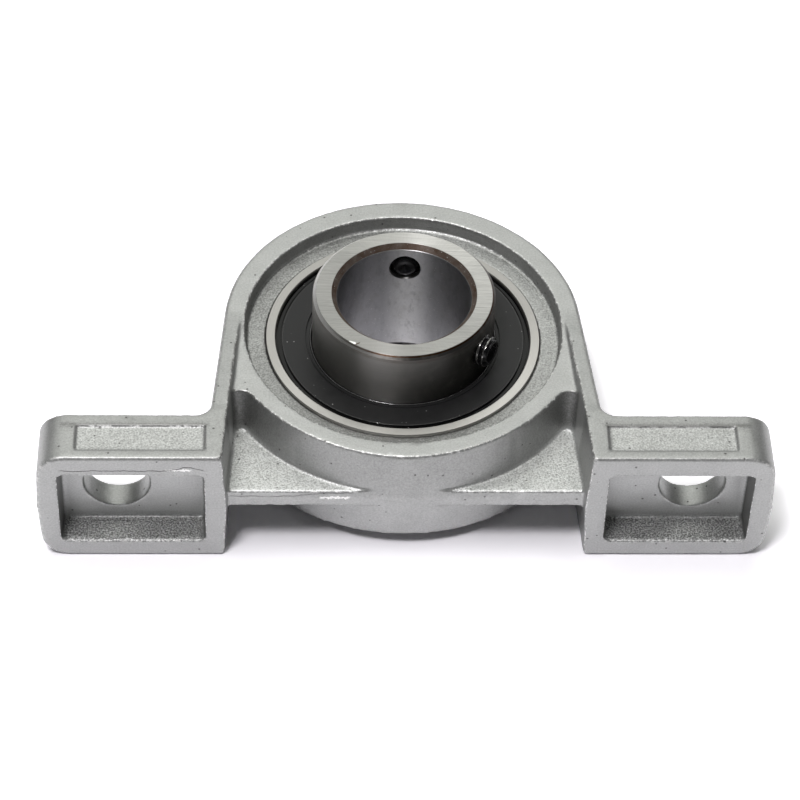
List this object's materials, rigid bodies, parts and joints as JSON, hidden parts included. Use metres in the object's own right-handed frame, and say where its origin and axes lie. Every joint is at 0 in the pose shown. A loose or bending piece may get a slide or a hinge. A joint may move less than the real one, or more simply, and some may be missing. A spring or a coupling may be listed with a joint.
{
  "type": "pillow block bearing",
  "caption": "Small die-cast pillow block with a self-aligning sealed ball bearing, two bolt feet and a long collar with set screws that clamp a shaft.",
  "frame": {"origin": "centre of the spherical seat, on the bore axis and on the parting plane of the casting", "axes": "+Z along the shaft bore towards the collar with the set screws; +X along the feet; the mounting face looks along -Y"},
  "size_m": [0.08, 0.0429, 0.0189],
  "materials": {
    "cast_zinc": "die-cast zinc alloy as cast, light grey, matte with a fine sparkle",
    "ring_steel": "fine-turned and ground bearing steel",
    "ball_steel": "polished bearing steel",
    "cage_steel": "pressed steel strip",
    "seal_rubber": "moulded black rubber, satin",
    "washer_steel": "plain steel sheet under the rubber",
    "black_screw": "black oxide"
  },
  "bodies": {
    "housing": {"housing": "cast_zinc"},
    "outer_race": {"outer_ring": "ring_steel", "front_seal": "seal_rubber", "front_seal_core": "washer_steel", "back_seal": "seal_rubber", "back_seal_core": "washer_steel"},
    "inner_race": {"inner_ring": "ring_steel"},
    "cage": {"cage_front_half": "cage_steel", "cage_back_half": "cage_steel", "cage_rivets": "cage_steel"},
    "ball_1": {"ball_1": "ball_steel"},
    "ball_2": {"ball_2": "ball_steel"},
    "ball_3": {"ball_3": "ball_steel"},
    "ball_4": {"ball_4": "ball_steel"},
    "ball_5": {"ball_5": "ball_steel"},
    "ball_6": {"ball_6": "ball_steel"},
    "ball_7": {"ball_7": "ball_steel"},
    "ball_8": {"ball_8": "ball_steel"},
    "ball_9": {"ball_9": "ball_steel"},
    "set_screw_1": {"set_screw_1": "black_screw"},
    "set_screw_2": {"set_screw_2": "black_screw"}
  },
  "joints": [
    {"name": "alignment", "type": "hinge", "parent": "housing", "child": "outer_race", "pos_m": [0, 0, 0], "axis": [0, 1, 0], "range_deg": [-3, 3]},
    {"name": "shaft_spin", "type": "hinge", "parent": "outer_race", "child": "inner_race", "pos_m": [0, 0, 0], "axis": [0, 0, 1], "continuous": true},
    {"name": "cage_orbit", "type": "hinge", "parent": "outer_race", "child": "cage", "pos_m": [0, 0, 0], "axis": [0, 0, 1], "continuous": true},
    {"name": "ball_1_spin", "type": "hinge", "parent": "cage", "child": "ball_1", "pos_m": [0, 0.01175, 0], "axis": [0, 0, 1], "continuous": true},
    {"name": "ball_2_spin", "type": "hinge", "parent": "cage", "child": "ball_2", "pos_m": [-0.00755, 0.009, 0], "axis": [0, 0, 1], "continuous": true},
    {"name": "ball_3_spin", "type": "hinge", "parent": "cage", "child": "ball_3", "pos_m": [-0.01157, 0.00204, 0], "axis": [0, 0, 1], "continuous": true},
    {"name": "ball_4_spin", "type": "hinge", "parent": "cage", "child": "ball_4", "pos_m": [-0.01018, -0.00588, 0], "axis": [0, 0, 1], "continuous": true},
    {"name": "ball_5_spin", "type": "hinge", "parent": "cage", "child": "ball_5", "pos_m": [-0.00402, -0.01104, 0], "axis": [0, 0, 1], "continuous": true},
    {"name": "ball_6_spin", "type": "hinge", "parent": "cage", "child": "ball_6", "pos_m": [0.00402, -0.01104, 0], "axis": [0, 0, 1], "continuous": true},
    {"name": "ball_7_spin", "type": "hinge", "parent": "cage", "child": "ball_7", "pos_m": [0.01018, -0.00588, 0], "axis": [0, 0, 1], "continuous": true},
    {"name": "ball_8_spin", "type": "hinge", "parent": "cage", "child": "ball_8", "pos_m": [0.01157, 0.00204, 0], "axis": [0, 0, 1], "continuous": true},
    {"name": "ball_9_spin", "type": "hinge", "parent": "cage", "child": "ball_9", "pos_m": [0.00755, 0.009, 0], "axis": [0, 0, 1], "continuous": true},
    {"name": "set_screw_1_travel", "type": "slide", "parent": "inner_race", "child": "set_screw_1", "axis": [0.0436, 0.999, 0], "range_m": [-0.0001, 0.0018]},
    {"name": "set_screw_2_travel", "type": "slide", "parent": "inner_race", "child": "set_screw_2", "axis": [0.8434, -0.5373, 0], "range_m": [-0.0001, 0.0018]}
  ],
  "couplings": [
    {"joint": "cage_orbit", "follows": "shaft_spin", "ratio": 0.39868},
    {"joint": "ball_1_spin", "follows": "shaft_spin", "ratio": -2.3661},
    {"joint": "ball_2_spin", "follows": "shaft_spin", "ratio": -2.3661},
    {"joint": "ball_3_spin", "follows": "shaft_spin", "ratio": -2.3661},
    {"joint": "ball_4_spin", "follows": "shaft_spin", "ratio": -2.3661},
    {"joint": "ball_5_spin", "follows": "shaft_spin", "ratio": -2.3661},
    {"joint": "ball_6_spin", "follows": "shaft_spin", "ratio": -2.3661},
    {"joint": "ball_7_spin", "follows": "shaft_spin", "ratio": -2.3661},
    {"joint": "ball_8_spin", "follows": "shaft_spin", "ratio": -2.3661},
    {"joint": "ball_9_spin", "follows": "shaft_spin", "ratio": -2.3661}
  ]
}
